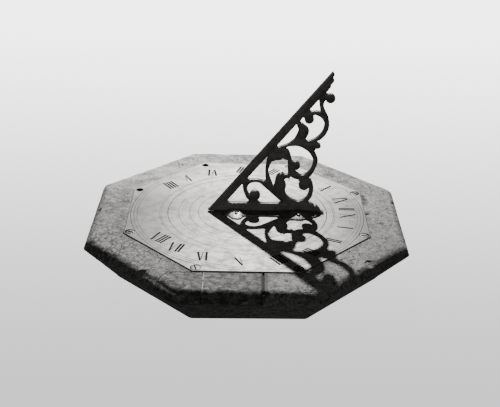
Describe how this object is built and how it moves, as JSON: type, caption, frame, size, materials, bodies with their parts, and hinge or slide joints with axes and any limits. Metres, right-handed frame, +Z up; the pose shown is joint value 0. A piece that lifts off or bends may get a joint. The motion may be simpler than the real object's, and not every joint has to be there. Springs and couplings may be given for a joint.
{
  "type": "garden sundial",
  "caption": "Horizontal garden sundial: pierced scrollwork gnomon on an engraved octagonal brass plate, screwed to an eight-sided stone cap.",
  "frame": {"origin": "middle of the cap stone's bed face, which it stands on", "axes": "+X north along the noon line, +Y west, +Z up out of the dial"},
  "size_m": [0.4, 0.4, 0.249],
  "materials": {
    "stone": "weathered limestone, pitted, with lichen stains",
    "repair_stone": "smoother, darker let-in stone",
    "mortar": "sandy lime mortar",
    "lead": "dull lead",
    "dial_brass": "worn, pale and engraved, with fine scratches",
    "dark_bronze": "near-black patina",
    "screw_brass": "tarnished, slotted"
  },
  "bodies": {
    "root": {"cap_stone": "stone", "edge_repair_south": "repair_stone", "edge_repair_north": "repair_stone", "repair_mortar": "mortar", "lead_plug_1": "lead", "lead_plug_2": "lead", "lead_plug_3": "lead", "lead_plug_4": "lead", "lead_plug_5": "lead", "lead_plug_6": "lead", "lead_plug_7": "lead", "lead_plug_8": "lead", "dial_plate": "dial_brass", "corner_screw_1": "screw_brass", "corner_screw_2": "screw_brass", "corner_screw_5": "screw_brass", "corner_screw_6": "screw_brass", "corner_screw_7": "screw_brass", "corner_screw_8": "screw_brass", "gnomon": "dark_bronze", "gnomon_foot": "dark_bronze", "tenon_pin_south": "screw_brass", "tenon_pin_north": "screw_brass", "foot_rivet_1": "dark_bronze", "foot_rivet_2": "dark_bronze", "foot_rivet_3": "dark_bronze", "foot_rivet_4": "dark_bronze"}
  },
  "joints": []
}
